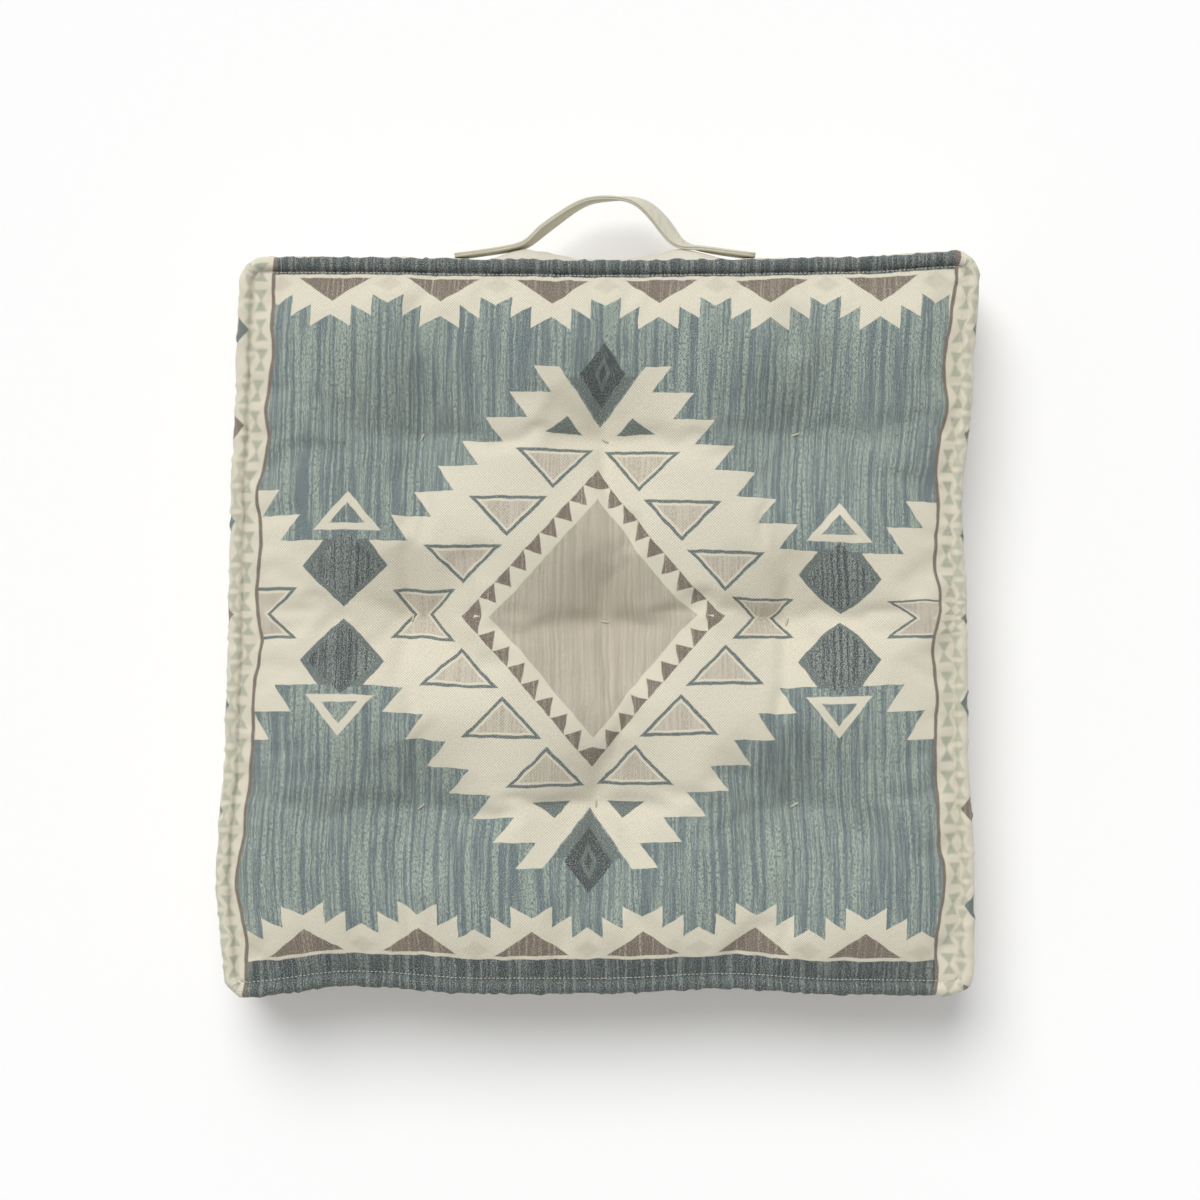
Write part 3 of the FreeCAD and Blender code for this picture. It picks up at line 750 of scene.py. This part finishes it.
bm, flat = cutFromCover(lambda middle: middle.z > 1.999)
pucker(bm, flat)
rollEdge(bm, flat, 1)
topTree = BVHTree.FromBMesh(bm)
topPanel = addThickness(newObject("topPanel", bm, canvasPrint))
onCushion(topPanel, "top_panel")

bm, flat = cutFromCover(lambda middle: middle.z < 0.001)
rollEdge(bm, flat, -1)
baseTree = BVHTree.FromBMesh(bm)
bottomPanel = addThickness(newObject("bottomPanel", bm, canvas))
onCushion(bottomPanel, "bottom_panel")
print("panels and rolled edges made")

walls = {
    "front": lambda middle: middle.y < -grooveY + 0.1 * mm,
    "back": lambda middle: middle.y > grooveY - 0.1 * mm,
    "left": lambda middle: middle.x < -grooveX + 0.1 * mm,
    "right": lambda middle: middle.x > grooveX - 0.1 * mm,
}
pullOut = {
    "reach": 26 * mm,        # the loop's two feet pull the back wall out
    "most": 8 * mm,
}
footX = loopHigh.x
strapMiddle = (loopLow.z + loopHigh.z) / 2
wallTrees = {}
for name, wanted in walls.items():
    rim = 2 / (cover["wallCells"] + 2) * 0.99
    bm, flat = cutFromCover(lambda middle: rim < middle.z < 2 - rim and wanted(middle))
    if name == "back":
        for vert in bm.verts:
            away = Vector((abs(vert.co.x) - footX, vert.co.z - strapMiddle)).length
            vert.co.y += pullOut["most"] * math.exp(-(away / pullOut["reach"]) ** 2)
    wallTrees[name] = BVHTree.FromBMesh(bm)
    onCushion(addThickness(newObject(f"{name}Wall", bm, canvas)), f"{name}_wall")
bpy.data.objects.remove(bag)
print("walls made")


def sweep(name, points, material, radius=0.0, outline=None, tilts=None, cyclic=False, sides=2):
    # a tube, or a band with the given outline, along a smooth line, made a mesh
    curve = bpy.data.curves.new(name, "CURVE")
    curve.dimensions = "3D"
    curve.twist_mode = "Z_UP"
    curve.resolution_u = 6
    curve.bevel_depth = radius
    curve.bevel_resolution = sides
    curve.use_fill_caps = not cyclic
    spline = curve.splines.new("NURBS")
    spline.points.add(len(points) - 1)
    for place, tilt, item in zip(points, tilts or [0] * len(points), spline.points):
        item.co = (*place, 1)
        item.tilt = math.radians(tilt)
    spline.order_u = 4
    spline.use_endpoint_u = not cyclic
    spline.use_cyclic_u = cyclic
    holder = bpy.data.objects.new(name, curve)
    scene.collection.objects.link(holder)
    if outline:
        shape = bpy.data.curves.new("outline", "CURVE")
        edge = shape.splines.new("POLY")
        edge.points.add(len(outline) - 1)
        for (x, y), item in zip(outline, edge.points):
            item.co = (x, y, 0, 1)
        edge.use_cyclic_u = True
        shapeHolder = bpy.data.objects.new("outline", shape)
        scene.collection.objects.link(shapeHolder)
        curve.bevel_mode = "OBJECT"
        curve.bevel_object = shapeHolder
    finished = holder.evaluated_get(bpy.context.evaluated_depsgraph_get())
    bm = bmesh.new()
    bm.from_mesh(finished.to_mesh())
    finished.to_mesh_clear()
    bpy.data.objects.remove(holder)
    if outline:
        bpy.data.objects.remove(shapeHolder)
    bmesh.ops.remove_doubles(bm, verts=bm.verts[:], dist=1e-5)
    bmesh.ops.recalc_face_normals(bm, faces=bm.faces[:])
    return bm


# the strands of waste cotton inside the two rolled edges
strand = {"slack": 1.6 * mm, "pointGap": 12 * mm}


def edgeWalk(gap):
    # evenly spaced points round the flat panel's edge, anticlockwise from the front left corner
    corners = [(-grooveX, -grooveY), (grooveX, -grooveY), (grooveX, grooveY), (-grooveX, grooveY)]
    for (ax, ay), (bx, by) in zip(corners, corners[1:] + corners[:1]):
        steps = round(math.hypot(bx - ax, by - ay) / gap)
        for i in range(steps):
            yield ax + (bx - ax) * i / steps, ay + (by - ay) * i / steps


for name, node, height in (("topRollStrand", "top_roll_strand", topRing),
                           ("bottomRollStrand", "bottom_roll_strand", baseRing)):
    line = [(*seamSpot(x, y)[0], height) for x, y in edgeWalk(strand["pointGap"])]
    bm = sweep(name, line, fibre, strandRadius - strand["slack"], cyclic=True)
    onCushion(newObject(name, bm, fibre), node)
print("roll strands made")


edgeStitch = {
    "pitch": 3.3 * mm,
    "length": 2.3 * mm,
    "thickness": 0.75 * mm,  # a little thicker than real thread, so that it shows
    "inset": 1.6 * mm,
}


stitchMesh = bpy.data.meshes.new("stitchMesh")
bm = bmesh.new()
bmesh.ops.create_uvsphere(bm, u_segments=6, v_segments=4, radius=1,
                          matrix=Matrix.Rotation(math.pi / 2, 4, "Y"))
bm.to_mesh(stitchMesh)
bm.free()


def addStitch(bm, place, heading, normal, length, thickness):
    # one visible bar of thread, lying on the cloth
    across = normal.cross(heading).normalized()
    heading = across.cross(normal).normalized()
    turn = Matrix((heading * length / 2, across * thickness / 2, normal * thickness / 2)).transposed()
    stitchMesh.transform(Matrix.Translation(place) @ turn.to_4x4())
    bm.from_mesh(stitchMesh, face_normals=False, vertex_normals=False)
    stitchMesh.transform((Matrix.Translation(place) @ turn.to_4x4()).inverted())


def sewEdge(name, node, tree, side):
    bm = bmesh.new()
    for x, y in edgeWalk(edgeStitch["pitch"]):
        foot, away = seamSpot(x, y)
        spot = foot - away * (cover["groove"] + edgeStitch["inset"])
        hit = tree.ray_cast(Vector((*spot, 0.2 * side)), Vector((0, 0, -side)))
        if hit[0] is None:
            continue
        heading = Vector((-away.y, away.x, 0))
        normal = hit[1] if hit[1].z * side > 0 else -hit[1]
        addStitch(bm, hit[0] + normal * 0.15 * mm, heading, normal,
                  edgeStitch["length"], edgeStitch["thickness"])
    onCushion(newObject(name, bm, thread), node)


sewEdge("topEdgeStitching", "top_edge_stitching", topTree, 1)
sewEdge("bottomEdgeStitching", "bottom_edge_stitching", baseTree, -1)
print("edge stitching made")


tie = {
    "halfBar": 3.6 * mm,
    "radius": 0.8 * mm,
    "knot": 2.2 * mm,
}


def makeTie(row, column):
    # a loop of twine: a short bar on top, two legs through the pad and a knot underneath
    spot = tuftPlaces[row, column]
    angle = math.radians(tieStray[row, column][2])
    heading = Vector((math.cos(angle), math.sin(angle), 0)) * tie["halfBar"]
    top = topTree.ray_cast(Vector((spot.x, spot.y, 0.2)), Vector((0, 0, -1)))[0].z
    base = baseTree.ray_cast(Vector((spot.x, spot.y, -0.2)), Vector((0, 0, 1)))[0].z
    middle = Vector((spot.x, spot.y, 0))
    line = []
    for share, height in ((-1, base - 0.2 * mm), (-1, (base + top) / 2), (-1, top - 2 * mm),
                          (-0.9, top + 0.2 * mm), (-0.4, top + 0.8 * mm), (0.4, top + 0.8 * mm),
                          (0.9, top + 0.2 * mm), (1, top - 2 * mm), (1, (base + top) / 2),
                          (1, base - 0.2 * mm)):
        line.append(middle + heading * share + Vector((0, 0, height)))
    bm = sweep(f"tuftTie.{row}.{column}", line, twine, tie["radius"])
    knotPlace = middle + Vector((0, 0, base - 0.3 * mm))
    for turn in (-1, 1):
        spin = Matrix.Translation(knotPlace) @ Matrix.Rotation(angle, 4, "Z")
        spin = spin @ Matrix.Rotation(turn * 0.6, 4, "X")
        bmesh.ops.create_uvsphere(bm, u_segments=12, v_segments=8, radius=tie["knot"],
                                  matrix=spin @ Matrix.Diagonal((1.7, 0.8, 0.6, 1)))
    name = f"tuftTie{row.capitalize()}{column.capitalize()}"
    onCushion(newObject(name, bm, twine), f"tuft_tie_{row}_{column}")


for row, column in tuftPlaces:
    makeTie(row, column)
print("tufting ties made")


# The strap's line from its left end to its right one: the share of the tab's reach from the
# middle, the share of the loop's rise above the wall, and how many degrees it leans over.
strap = {
    "line": [(-1, 0, 0), (-0.83, 0.2, 0), (-0.67, 0.27, 0), (-0.56, 0.33, -3),
             (-0.5, 0.42, -6), (-0.43, 0.62, -12), (-0.32, 0.85, -10), (-0.2, 1.1, -6),
             (-0.09, 1.24, 0), (0.05, 1.26, 4), (0.17, 1.25, 12), (0.26, 1.14, 24),
             (0.34, 0.94, 32), (0.42, 0.64, 34), (0.48, 0.4, 26), (0.56, 0.32, 10),
             (0.67, 0.28, 0), (0.83, 0.2, 0), (1, 0, 0)],
    "fold": 0.5 * mm,        # how deep the slot between the two folded layers is
}
strapWidth = loopHigh.z - loopLow.z
strapThick = tabHigh.y - tabLow.y
rise = loopHigh.y - strapThick / 2 - tabLow.y


def wallFace(x):
    # how far out the back wall stands where the strap lies on it
    best = backHigh.y - 0.02
    for share in (-0.5, -0.25, 0, 0.25, 0.5):
        start = Vector((x, backHigh.y + 0.1, strapMiddle + strapWidth * share))
        hit = wallTrees["back"].ray_cast(start, Vector((0, -1, 0)))
        if hit[0] is not None:
            best = max(best, hit[0].y)
    return best


points, tilts = [], []
for shareX, shareY, tilt in strap["line"]:
    x = shareX * tabHigh.x
    resting = wallFace(x) + strapThick / 2
    y = resting if shareY == 0 else max(resting, tabLow.y + rise * shareY)
    points.append((x, y, strapMiddle))
    tilts.append(tilt)
half, full = strapThick / 2, strapWidth / 2
outline = [(half, full - 0.8 * mm), (0.6 * half, full), (0.12 * half, full),
           (0, full - strap["fold"] * 2), (-0.12 * half, full), (-0.6 * half, full),
           (-half, full - 0.8 * mm)]
outline += [(-x, -y) for x, y in outline]
bm = sweep("handleStrap", points, strapCloth, outline=outline, tilts=tilts)
lengths = [0.0]
for first, second in zip(points, points[1:]):
    lengths.append(lengths[-1] + math.dist(first, second))
flat = bm.verts.layers.float_vector.new("flat")
for vert in bm.verts:
    after = next((i for i, place in enumerate(points) if place[0] > vert.co.x), len(points) - 1)
    after = max(after, 1)
    first, second = points[after - 1], points[after]
    share = (vert.co.x - first[0]) / (second[0] - first[0])
    aside = vert.co.y - first[1] - (second[1] - first[1]) * share
    length = lengths[after - 1] + (lengths[after] - lengths[after - 1]) * share
    vert[flat] = (length, vert.co.z + aside, 0)
strapTree = BVHTree.FromBMesh(bm)
handleStrap = newObject("handleStrap", bm, strapCloth)
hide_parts("handle_loop", "handle_tab_left", "handle_tab_right")
hinge = frame["record"]["behaviour"]["joints"][0]
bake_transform(handleStrap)
print("handle strap made")

tabStitch = {
    "pitch": 3.2 * mm,
    "length": 2.3 * mm,
    "thickness": 0.8 * mm,
}
for side in ("left", "right"):
    low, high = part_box(f"tab_stitching_{side}")
    bm = bmesh.new()
    corners = [(low.x, low.z), (high.x, low.z), (high.x, high.z), (low.x, high.z)]
    for (ax, az), (bx, bz) in zip(corners, corners[1:] + corners[:1]):
        steps = round(math.hypot(bx - ax, bz - az) / tabStitch["pitch"])
        for i in range(steps):
            share = (i + 0.5) / steps
            start = Vector((ax + (bx - ax) * share, high.y + 0.1, az + (bz - az) * share))
            hit = strapTree.ray_cast(start, Vector((0, -1, 0)))
            if hit[0] is not None:
                addStitch(bm, hit[0] + Vector((0, 0.15 * mm, 0)), Vector((bx - ax, 0, bz - az)),
                          Vector((0, 1, 0)), tabStitch["length"], tabStitch["thickness"])
    onCushion(newObject(f"tabStitching{side.capitalize()}", bm, thread), f"tab_stitching_{side}")
print("tab stitching made")


# a pale floor, two soft lights and the camera straight above
studio = {
    "floorHalf": 40,
    "floorColour": "#FFFFFF",
    "skyStrength": 0.46,
    "sunFrom": (-0.25, 0.75, 1.0),
    "sunStrength": 2.1,
    "sunSoftness": 40,
    "cameraPlace": (-0.004, 0.0216, 2.4),
    "lens": 86.6,
}
bm = bmesh.new()
bmesh.ops.create_grid(bm, x_segments=1, y_segments=1, size=studio["floorHalf"])
floorMaterial, tree = newMaterial("paintedStudioFloor")
shader = addNode(tree, "BsdfPrincipled", named={
    "Base Color": hexColour(studio["floorColour"]), "Roughness": 0.9, "Specular IOR Level": 0.1})
addNode(tree, "OutputMaterial", shader)
newObject("studioFloor", bm, floorMaterial)

world = bpy.data.worlds.new("softStudio")
world.use_nodes = True
world.node_tree.nodes["Background"].inputs["Color"].default_value = (1, 1, 1, 1)
world.node_tree.nodes["Background"].inputs["Strength"].default_value = studio["skyStrength"]
scene.world = world
scene.view_settings.view_transform = "Standard"

key = bpy.data.objects.new("keyLight", bpy.data.lights.new("keyLight", "SUN"))
key.data.energy = studio["sunStrength"]
key.data.angle = math.radians(studio["sunSoftness"])
key.location = studio["sunFrom"]
key.rotation_euler = Vector(studio["sunFrom"]).to_track_quat("Z", "Y").to_euler()
scene.collection.objects.link(key)

camera = bpy.data.objects.new("camera", bpy.data.cameras.new("camera"))
camera.data.sensor_width = 36
camera.data.lens = studio["lens"]
camera.location = studio["cameraPlace"]
scene.collection.objects.link(camera)
scene.camera = camera
print("studio made")
